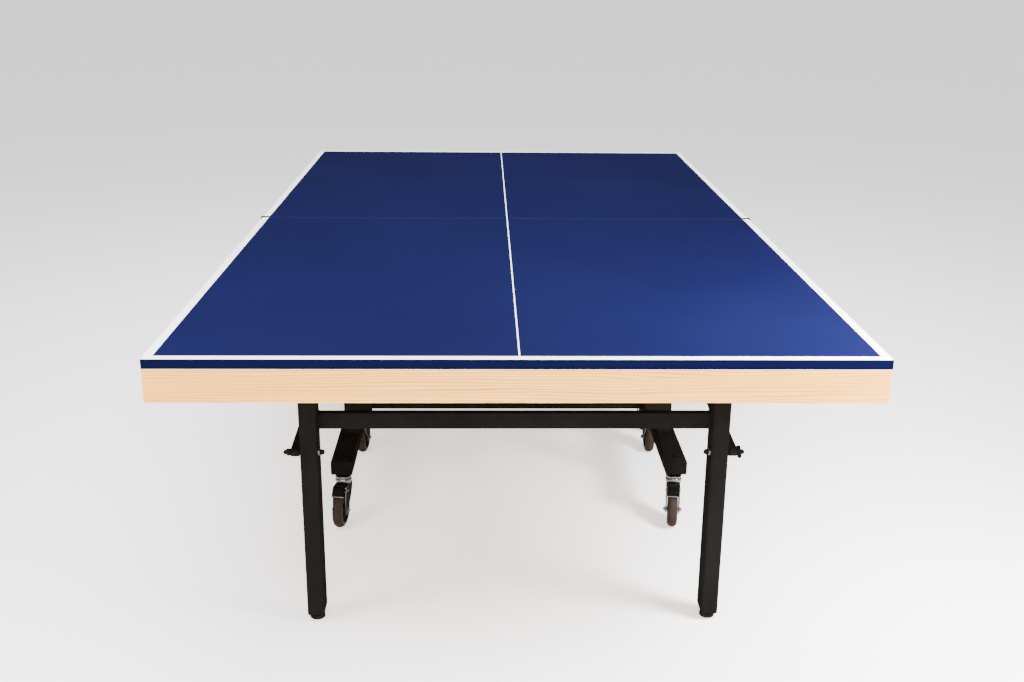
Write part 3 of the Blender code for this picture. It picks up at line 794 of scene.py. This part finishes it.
def axle_shape():
    """The axle bolt with a washer, hexagon head and nut outside the fork plates."""
    pieces = [to_x(rod((0, 0, -0.0205), (0, 0, 0.0205), AXLE_RADIUS))]
    for side in (-1, 1):
        washer = turned([(0, 0.0008), (0.0068, 0.0008), (0.0072, 0.0004), (0.0072, 0), (0, 0)], 40)
        nut = hex_nut(across=0.0106, thickness=0.0042, bolt=0.0030)
        nut.location.z = 0.0008
        group = joined("end", [washer, nut])
        group.data.transform(Matrix.Translation((0, 0, PLATE_X[1] + 0.0002)))
        group.data.transform(Matrix.Rotation(side * pi / 2, 4, "Y"))
        pieces.append(group)
    axle = joined("axle", pieces)
    axle.data.transform(Matrix.Translation(AXLE))
    return pattern(axle)


def rivet_shape():
    """The kingpin's peened head under the crown."""
    head = [(0, 0.1150), (0.0030, 0.1152), (0.0052, 0.1162), (0.0060, 0.1177), (0, 0.1177)]
    return pattern(joined("rivet", [turned(head, 40)]))


def pedal_pin_shape():
    """The pin that the pedal turns on, with a domed head outside each fork plate."""
    pieces = [to_x(rod((0, 0, -0.0198), (0, 0, 0.0198), 0.0024, 24))]
    for side in (-1, 1):
        head = turned([(0, 0.0022), (0.0026, 0.0019), (0.0040, 0.0010), (0.0042, 0), (0, 0)], 32)
        head.data.transform(Matrix.Translation((0, 0, PLATE_X[1] + 0.0001)))
        head.data.transform(Matrix.Rotation(side * pi / 2, 4, "Y"))
        pieces.append(head)
    pin = joined("pin", pieces)
    pin.data.transform(Matrix.Translation(PEDAL_PIVOT))
    return pattern(pin)


# The pad of the brake pedal in section, as (y, z) points up its outer side
PAD_LINE = [
    (-0.0622, 0.1015),
    (-0.0602, 0.1064),
    (-0.0574, 0.1112),
    (-0.0538, 0.1160),
    (-0.0492, 0.1207),
    (-0.0440, 0.1250),
]
PAD_HALF = 0.0172
PAD_THICKNESS = 0.0030
PAD_RIBS = 6
RIB_PITCH = 0.145  # of the pad's whole line
RIB_WIDTH = 0.065


def along_pad(step):
    """A point on the pad's outer line, and its outward direction, at a step from 0 to 1."""
    place = step * (len(PAD_LINE) - 1)
    index = min(int(place), len(PAD_LINE) - 2)
    start, end = Vector(PAD_LINE[index]), Vector(PAD_LINE[index + 1])
    direction = (end - start).normalized()
    return start.lerp(end, place - index), Vector((-direction.y, direction.x))


def pad_outline(steps, above, below):
    """The pad's section, from a height above its outer line to a depth below it."""
    top = [point + above * out for point, out in map(along_pad, steps)]
    return top + [point - below * out for point, out in map(along_pad, reversed(steps))]


def pedal_shape():
    """The brake pedal: a ribbed pad that stands up in front of the crown, on an arm from its pivot."""
    steps = [index / 15 for index in range(16)]
    pieces = [bevelled(plate(pad_outline(steps, 0, PAD_THICKNESS), -PAD_HALF, PAD_HALF), 0.0009, 3)]
    for side in (-1, 1):
        low, high = sorted((side * (PAD_HALF - 0.0018), side * PAD_HALF))
        pieces.append(bevelled(plate(pad_outline(steps, 0.0011, 0.0040), low, high), 0.0005, 2))
    for index in range(PAD_RIBS):
        start = 0.10 + RIB_PITCH * index
        first, out = along_pad(start)
        second, _ = along_pad(start + RIB_WIDTH)
        rib = [first - 0.0008 * out, first + 0.0010 * out, second + 0.0010 * out, second - 0.0008 * out]
        pieces.append(bevelled(plate(rib, -PAD_HALF + 0.0016, PAD_HALF - 0.0016), 0.0003, 2))
    arm = [
        (-0.0300, 0.1040),
        (-0.0470, 0.1040),
        (-0.0588, 0.1052),
        (-0.0560, 0.1105),
        (-0.0440, 0.1130),
        (-0.0300, 0.1130),
    ]
    pieces.append(bevelled(plate(arm, -0.0128, 0.0128), 0.0008, 2))
    barrel = to_x(rod((0, 0, -0.0150), (0, 0, 0.0150), 0.0049, 32))
    barrel.data.transform(Matrix.Translation(PEDAL_PIVOT))
    pieces.append(barrel)
    return pattern(joined("pedal", pieces))


def pedal_rim_shape():
    """The bright steel edge that shows along the bottom of the pedal's pad."""
    strip = [(-0.0630, 0.1001), (-0.0620, 0.1021), (-0.0590, 0.1030), (-0.0578, 0.1015), (-0.0586, 0.0998)]
    return pattern(bevelled(plate(strip, -PAD_HALF - 0.0003, PAD_HALF + 0.0003), 0.0004, 2))


def add_caster(name, braked, shapes):
    """Dresses one caster, with every piece placed by the joints of its swivel and its wheel."""
    stem = Vector(JOINTS[f"{name}_swivel_turn"]["pos_m"])
    centre = Vector(JOINTS[f"{name}_wheel_spin"]["pos_m"])
    back = Vector((stem.x - centre.x, stem.y - centre.y, 0)).normalized()
    across = back.cross(Vector((0, 0, 1))).normalized()
    turn = Matrix((across, back, (0, 0, 1))).transposed().to_4x4()
    at_stem = Matrix.Translation((stem.x, stem.y, 0)) @ turn
    at_axle = Matrix.Translation(centre) @ turn
    swivel, wheel = f"{name}_swivel", f"{name}_wheel"
    fork = copy_of(shapes["fork"], f"{name}_fork_plates", MATERIALS["zinc"], swivel, at_stem)
    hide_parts(f"{name}_fork")
    for key, material, slot_name in (
        ("fork_shade_sheet", "fork", "black_steel"),
        ("ring", "ring", "zinc"),
        ("collar", "steel", "black_steel"),
        ("axle", "zinc", "zinc"),
        ("rivet", "zinc", "zinc"),
    ):
        copy_of(shapes[key], f"{name}_{key}", MATERIALS[material], swivel, at_stem)
    tyre = copy_of(shapes["tread"], f"{name}_tread", MATERIALS["tread"], wheel, at_axle)
    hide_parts(wheel)
    copy_of(shapes["core"], f"{name}_core", MATERIALS["plastic"], wheel, at_axle)
    copy_of(shapes["rim"], f"{name}_rim", MATERIALS["zinc"], wheel, at_axle)
    copy_of(shapes["hub_tube"], f"{name}_hub_tube", MATERIALS["zinc"], wheel, at_axle)
    if braked:
        copy_of(shapes["pin"], f"{name}_pedal_pin", MATERIALS["zinc"], swivel, at_stem)
        brake = f"{name}_brake"
        shell = f"{name}_pedal_shell"
        # The pedal wears the darkened plastic, as painted shade.
        pedal = copy_of(shapes["pedal"], shell, MATERIALS["cap"], brake, at_stem)
        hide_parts(f"{name}_brake_pedal")
        copy_of(shapes["pedal_rim"], f"{name}_pedal_rim", MATERIALS["zinc"], brake, at_stem)


# ---------------------------------------------------------------- feet, clamp screws and small hardware
FOOT_RIBS = 18
# Along the clamp screw's axis, from the middle of the table
SCREW_HEAD = 0.4400
SCREW_TIP = 0.5360
WING_MIDDLE = 0.52325
WING_TILT = 130
WELD_RADIUS = 0.0016
WELD_SINK = 0.0002  # of the crossbar's beads, back from its ends
STRUT_ROUND = 0.010
LEG_PIN_HEADS = (("outer", 0.504, 1), ("inner", 0.448, -1))  # name, distance from the middle, facing
POST_WIDTH = 0.040  # the uprights' square tube where it stands on its rail
POST_X = 0.460
POST_Y = -0.382
PLUG_GAP = 0.0008  # a plug is smaller than its tube by this much
PLUG_WIDTH = RAIL_CORNERS[1].x - RAIL_CORNERS[0].x - PLUG_GAP
PLUG_HEIGHT = RAIL_CORNERS[1].z - RAIL_CORNERS[0].z - PLUG_GAP
FRAME_RAIL_X = 0.377
FRAME_TUBE_HEIGHT = 0.025
FRAME_SCREWS_Y = (-1.250, -0.900, -0.480, -0.120)
BRACKET_SCREWS_Z = (0.716, 0.744)


def foot_shape():
    """The levelling foot about its stem: a soft-edged disc with a ring groove, and a ribbed neck."""
    profile = [
        (0, 0.0600),
        (0.0048, 0.0600),
        (0.0050, 0.0595),
        (0.0050, 0.0172),
        (0.0088, 0.0172),
        (0.0096, 0.0166),
        (0.0098, 0.0140),
        (0.0104, 0.0122),
        (0.0122, 0.0108),
        (0.0158, 0.0092),
        (0.0175, 0.0080),
        (0.0184, 0.0062),
        (0.0185, 0.0042),
        (0.0179, 0.0037),
        (0.0179, 0.0031),
        (0.0184, 0.0026),
        (0.0182, 0.0008),
        (0.0174, 0.0001),
        (0, 0.0001),
    ]
    pieces = [turned(profile, 96)]
    for index in range(FOOT_RIBS):
        rib = box((0.0090, -0.0005, 0.0126), (0.0106, 0.0005, 0.0168))
        rib.data.transform(Matrix.Rotation(2 * pi * index / FOOT_RIBS, 4, "Z"))
        pieces.append(rib)
    return pattern(joined("foot", pieces))


def foot_nut_shape():
    """The thin flange that the foot's stem screws into, just inside the end of the leg."""
    flange = [(0.0052, 0.0210), (0.0095, 0.0210), (0.0098, 0.0180), (0.0052, 0.0180)]
    return pattern(turned(flange, 40, closed=True))


def screw_body_shape():
    """The clamp screw for the right side, about its own axis: domed head, shaft, hub and wings."""
    line = [(0, SCREW_HEAD)]
    for step in range(1, 9):
        angle = radians(90 * step / 8)
        line.append((0.0066 * sin(angle), SCREW_HEAD + 0.0066 * (1 - cos(angle))))
    line += [(0.0066, 0.4512), (0.0049, 0.4514), (0.0049, 0.4557), (0.0049, 0.5192), (0.0074, 0.5192)]
    line += [(0.0084, 0.5200), (0.0085, 0.5262), (0.0076, 0.5272), (0.0058, 0.5276)]
    for step in range(8):
        angle = radians(90 * step / 8)
        line.append((0.0056 * cos(angle), SCREW_TIP - 0.0058 * (1 - sin(angle))))
    line.append((0, SCREW_TIP))
    pieces = [to_x(turned(line, 64))]
    for side in (-1, 1):
        pieces.append(wing(side))
    return pattern(joined("clamp", pieces), 40)


def clamp_washer_shape():
    """The plain washer between the clamp screw's head and the leg."""
    disc = [(0, 0.4514), (0.0078, 0.4514), (0.0083, 0.4519), (0.0083, 0.4551), (0.0078, 0.4556), (0, 0.4556)]
    return pattern(to_x(turned(disc, 48)))


def wing(side):
    """A wing of the clamp screw, tilted forward and down: a waisted arm with a round lobe."""
    profile = [(0, 0.0165)]
    for step in range(1, 9):
        angle = radians(105 * step / 8)
        profile.append((0.0050 * sin(angle), 0.0115 + 0.0050 * cos(angle)))
    profile += [(0.0042, 0.0080), (0.0050, 0.0050), (0.0060, 0.0020), (0, 0.0020)]
    lobe = turned(profile, 48)
    lobe.data.transform(Matrix.Diagonal((1.10, 1.0, side, 1)))
    if side < 0:
        lobe.data.flip_normals()
    tilt = Matrix.Rotation(radians(WING_TILT), 4, "X")
    lobe.data.transform(Matrix.Translation((WING_MIDDLE, 0, 0)) @ tilt)
    return lobe


def bead(start, end):
    """A weld bead: a bar of little overlapping scales between two points."""
    direction = end - start
    length = direction.length
    count = max(4, int(length / WELD_RADIUS))
    neck = WELD_RADIUS * 0.84
    profile = [(0, length)]
    for step in range(count):
        low = length * (count - step - 1) / count
        high = length * (count - step) / count
        profile += [(neck, high), (WELD_RADIUS, low + 0.35 * (high - low))]
    profile += [(neck, 0), (0, 0)]
    bar = turned(profile, 10)
    turn = direction.to_track_quat("Z", "Y").to_matrix().to_4x4()
    bar.data.transform(Matrix.Translation(start) @ turn)
    return bar


def bead_frame(centre, half, axis):
    """Weld beads round the end of a rectangular tube that runs along an axis (0 is X, 2 is Z)."""
    pieces = []
    a, b = half
    corners = [(-a, -b), (a, -b), (a, b), (-a, b)]
    for first, second in zip(corners, corners[1:] + corners[:1]):
        ends = []
        for u, v in (first, second):
            offset = (0, u, v) if axis == 0 else (u, v, 0)
            ends.append(Vector(centre) + Vector(offset))
        pieces.append(bead(*ends))
    return pieces


def plug_shape(width, height, thickness, corner):
    """A tube's end plug facing -Y, about the middle of the tube's end: a rounded cap with a low pad."""
    cap = box((-width / 2, -thickness, -height / 2), (width / 2, 0.0, height / 2))
    sheet = bmesh.new()
    sheet.from_mesh(cap.data)
    long_edges = []
    for edge in sheet.edges:
        if abs(edge.verts[0].co.y - edge.verts[1].co.y) > thickness / 2:
            long_edges.append(edge)
    bmesh.ops.bevel(sheet, geom=long_edges, offset=corner, segments=4, affect="EDGES", profile=0.5)
    sheet.to_mesh(cap.data)
    sheet.free()
    bevelled(cap, thickness * 0.45, 3, 50)
    half_pad = Vector((width * 0.30, 0, height * 0.28))
    face = Vector((0, -thickness, 0))
    pad = box(face - half_pad - Vector((0, 0.0003, 0)), face + half_pad + Vector((0, 0.0004, 0)))
    bevelled(pad, 0.0003, 2)
    return pattern(joined("plug", [cap, pad]))


def dome_bolt_shape(radius, height):
    """A low domed bolt head on a washer, standing on z = 0."""
    profile = [(0, height)]
    for step in range(1, 8):
        angle = radians(90 * step / 7)
        profile.append((radius * sin(angle), 0.0012 + (height - 0.0012) * cos(angle)))
    profile += [(radius * 1.28, 0.0011), (radius * 1.36, 0.0006), (radius * 1.36, 0), (0, 0)]
    return pattern(turned(profile, 48))


def pan_screw_shape():
    """A small pan-head screw with a cross on its head, standing on z = 0."""
    head = [(0, 0.0026), (0.0028, 0.0025), (0.0040, 0.0018), (0.0044, 0.0004), (0.0044, 0), (0, 0)]
    pieces = [turned(head, 32)]
    for turn in (0, pi / 2):
        bar = box((-0.0019, -0.00035, 0.0024), (0.0019, 0.00035, 0.0027))
        bar.data.transform(Matrix.Rotation(turn, 4, "Z"))
        pieces.append(bar)
    return pattern(joined("screw", pieces))


def side_names(half):
    """The names of a half's sides, its +X side first before the back half is turned round."""
    return ("right", "left") if half == "front" else ("left", "right")


def side_sign(side_name):
    return 1 if side_name == "right" else -1


def add_legs(half, shapes):
    """The feet, clamp screws, struts, pivot heads and weld beads of one half's legs."""
    body = f"{half}_legs"
    beads = []
    for side_name in side_names(half):
        node = f"{half}_foot_{side_name}"
        low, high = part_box(node)
        place = Matrix.Translation(((low.x + high.x) / 2, (low.y + high.y) / 2, 0))
        name = f"{half}_levelling_foot_{side_name}"
        foot = copy_of(shapes["foot"], name, MATERIALS["plastic"], node, place)
        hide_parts(node)
        name = f"{half}_foot_nut_{side_name}"
        copy_of(shapes["foot_nut"], name, MATERIALS["zinc"], body, place)
        screw = f"{half}_clamp_screw_{side_name}"
        axis = Vector(JOINTS[f"{screw}_turn"]["pos_m"])
        facing = Matrix.Identity(4) if axis.x > 0 else Matrix.Rotation(pi, 4, "Z")
        place = Matrix.Translation((0, axis.y, axis.z)) @ facing
        clamp = copy_of(shapes["clamp"], f"{screw}_body", MATERIALS["steel"], screw, place)
        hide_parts(screw)
        copy_of(shapes["clamp_washer"], f"{screw}_washer", MATERIALS["zinc"], screw, place)
        add_strut(half, side_name)
        add_leg_pivot(half, side_name, shapes)
    low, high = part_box(f"{half}_leg_crossbar")
    middle = (low + high) / 2
    for end in (-1, 1):
        x = end * (high.x - WELD_SINK)
        beads += bead_frame((x, middle.y, middle.z), ((high.y - low.y) / 2, (high.z - low.z) / 2), 0)
    finish(smooth(joined("bead", beads)), f"{half}_leg_welds", MATERIALS["steel"], body)


def add_strut(half, side_name):
    """A strut: a square bar with both ends rounded about the pins that it hangs on."""
    pivot = Vector(JOINTS[f"{half}_strut_fold"]["pos_m"]).yz
    clamp = Vector(JOINTS[f"{half}_clamp_screw_{side_name}_turn"]["pos_m"]).yz
    low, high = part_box(f"{half}_strut_{side_name}")
    run = (clamp - pivot).normalized()
    across = Vector((-run.y, run.x))
    outline = []
    for centre, along in ((clamp, run), (pivot, -run)):
        up = across if centre is clamp else -across
        for step in range(17):
            angle = radians(90 - 180 * step / 16)
            outline.append(centre + STRUT_ROUND * (cos(angle) * along + sin(angle) * up))
    bar = smooth(bevelled(plate(outline, low.x, high.x), 0.0022, 4), 50)
    finish(bar, f"{half}_strut_bar_{side_name}", MATERIALS["steel"], f"{half}_struts")
    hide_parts(f"{half}_strut_{side_name}")


def add_leg_pivot(half, side_name, shapes):
    """The domed heads of the pin that a leg turns on, outside its two ears."""
    pivot = Vector(JOINTS[f"{half}_leg_fold"]["pos_m"])
    sign = side_sign(side_name)
    for end, x, facing in LEG_PIN_HEADS:
        turn = Matrix.Rotation(sign * facing * pi / 2, 4, "Y")
        place = Matrix.Translation((sign * x, pivot.y, pivot.z)) @ turn
        name = f"{half}_leg_pin_{end}_{side_name}"
        copy_of(shapes["dome_bolt"], name, MATERIALS["zinc"], f"{half}_panel", place)


def add_trolley(half, shapes):
    """Plugs in the rails' ends, domed bolts over the caster stems, and the trolley's weld beads."""
    body = f"{half}_trolley"
    beads = []
    sign = 1 if half == "front" else -1
    for side_name in side_names(half):
        low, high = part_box(f"{half}_trolley_rail_{side_name}")
        middle = (low + high) / 2
        outer, inner = (low.y, high.y) if half == "front" else (high.y, low.y)
        for end, y, facing in (("outer", outer, sign), ("inner", inner, -sign)):
            turn = Matrix.Identity(4) if facing > 0 else Matrix.Rotation(pi, 4, "Z")
            place = Matrix.Translation((middle.x, y, middle.z)) @ turn
            name = f"{half}_rail_plug_{end}_{side_name}"
            copy_of(shapes["rail_plug"], name, MATERIALS["cap"], body, place)
        for end in ENDS:
            stem = Vector(JOINTS[f"{half}_{end}_{side_name}_caster_swivel_turn"]["pos_m"])
            place = Matrix.Translation((stem.x, stem.y, high.z))
            name = f"{half}_stem_bolt_{end}_{side_name}"
            copy_of(shapes["stem_bolt"], name, MATERIALS["cap"], body, place)
        foot_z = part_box(f"{half}_upright_{side_name}")[0].z
        x = side_sign(side_name) * POST_X
        beads += bead_frame((x, sign * POST_Y, foot_z), (POST_WIDTH / 2, POST_WIDTH / 2), 2)
    low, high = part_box(f"{half}_trolley_cross_tube")
    middle = (low + high) / 2
    for end in (-1, 1):
        half_section = ((high.y - low.y) / 2, (high.z - low.z) / 2)
        beads += bead_frame((end * high.x, middle.y, middle.z), half_section, 0)
    finish(smooth(joined("bead", beads)), f"{half}_trolley_welds", MATERIALS["steel"], body)


def add_bracket_screws(side_name, side, shapes):
    """Two small flat screws in the outer face of a net bracket."""
    low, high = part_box(f"back_net_bracket_{side_name}")
    x = high.x if side > 0 else low.x
    turn = Matrix.Rotation(side * pi / 2, 4, "Y") @ Matrix.Diagonal((0.8, 0.8, 0.5, 1))
    for index, z in enumerate(BRACKET_SCREWS_Z):
        place = Matrix.Translation((x, (low.y + high.y) / 2, z)) @ turn
        name = f"bracket_screw_{side_name}_{index}"
        copy_of(shapes["pan_screw"], name, MATERIALS["zinc"], "back_panel", place)


def add_panel(half, shapes):
    """Screws that hold the frame up to the board, and the net brackets' screws."""
    sign = 1 if half == "front" else -1
    body = f"{half}_panel"
    down = Matrix.Rotation(pi, 4, "X")
    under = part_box(f"{half}_panel_frame")[1].z - FRAME_TUBE_HEIGHT
    for side_name in SIDES:
        side = side_sign(side_name)
        for index, y in enumerate(FRAME_SCREWS_Y):
            place = Matrix.Translation((side * FRAME_RAIL_X, sign * y, under)) @ down
            name = f"{half}_frame_screw_{side_name}_{index}"
            copy_of(shapes["pan_screw"], name, MATERIALS["zinc"], body, place)
        if half == "back":
            add_bracket_screws(side_name, side, shapes)


# ---------------------------------------------------------------- the whole scene
for node_name, node in NODES.items():
    dress_node(node_name, node)

SHAPES = {
    "tread": tread_shape(),
    "core": core_shape(),
    "hub_tube": hub_tube_shape(),
    "rim": rim_shape(),
    "fork": fork_shape(),
    "fork_shade_sheet": fork_shade_sheet_shape(),
    "ring": swivel_ring_shape(),
    "collar": collar_shape(),
    "axle": axle_shape(),
    "rivet": rivet_shape(),
    "pin": pedal_pin_shape(),
    "pedal": pedal_shape(),
    "pedal_rim": pedal_rim_shape(),
    "foot": foot_shape(),
    "foot_nut": foot_nut_shape(),
    "clamp": screw_body_shape(),
    "clamp_washer": clamp_washer_shape(),
    "rail_plug": plug_shape(PLUG_WIDTH, PLUG_HEIGHT, thickness=0.0026, corner=0.0040),
    "dome_bolt": dome_bolt_shape(radius=0.0068, height=0.0048),
    "stem_bolt": dome_bolt_shape(radius=0.0062, height=0.0040),
    "pan_screw": pan_screw_shape(),
}
for half in HALVES:
    for end in ENDS:
        for side_name in SIDES:
            add_caster(f"{half}_{end}_{side_name}_caster", end == "outer", SHAPES)
    add_legs(half, SHAPES)
    add_trolley(half, SHAPES)
    add_panel(half, SHAPES)

add_camera()
add_world()
add_floor()
for light in LIGHTS:
    add_light(*light)
